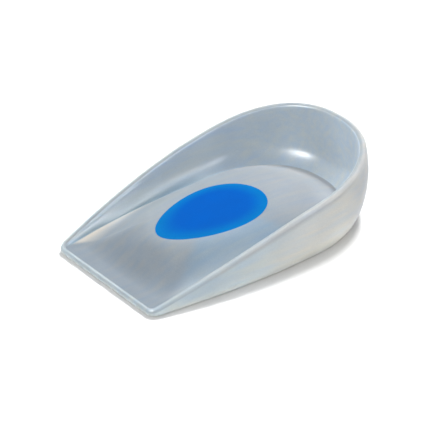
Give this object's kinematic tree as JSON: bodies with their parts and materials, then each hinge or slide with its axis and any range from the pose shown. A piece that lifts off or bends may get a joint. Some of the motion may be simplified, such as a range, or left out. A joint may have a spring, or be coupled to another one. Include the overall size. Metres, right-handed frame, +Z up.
{
  "type": "heel cup",
  "caption": "Translucent silicone heel cup with a raised wall round the back of the heel, a thin straight front edge, a raised floor and an egg-shaped spot of soft blue gel set into it.",
  "frame": {"origin": "under the middle of the overall length and width, on the surface that the sole rests on", "axes": "+X across the cup, to the right seen from the front edge; +Y from the thin front edge to the back of the heel; +Z up"},
  "size_m": [0.0674, 0.1068, 0.0282],
  "materials": {
    "clear_silicone": "milky translucent silicone, satin",
    "blue_gel": "soft blue silicone gel, satin"
  },
  "bodies": {
    "root": {"cup_shell": "clear_silicone", "soft_spot": "blue_gel"}
  },
  "joints": []
}
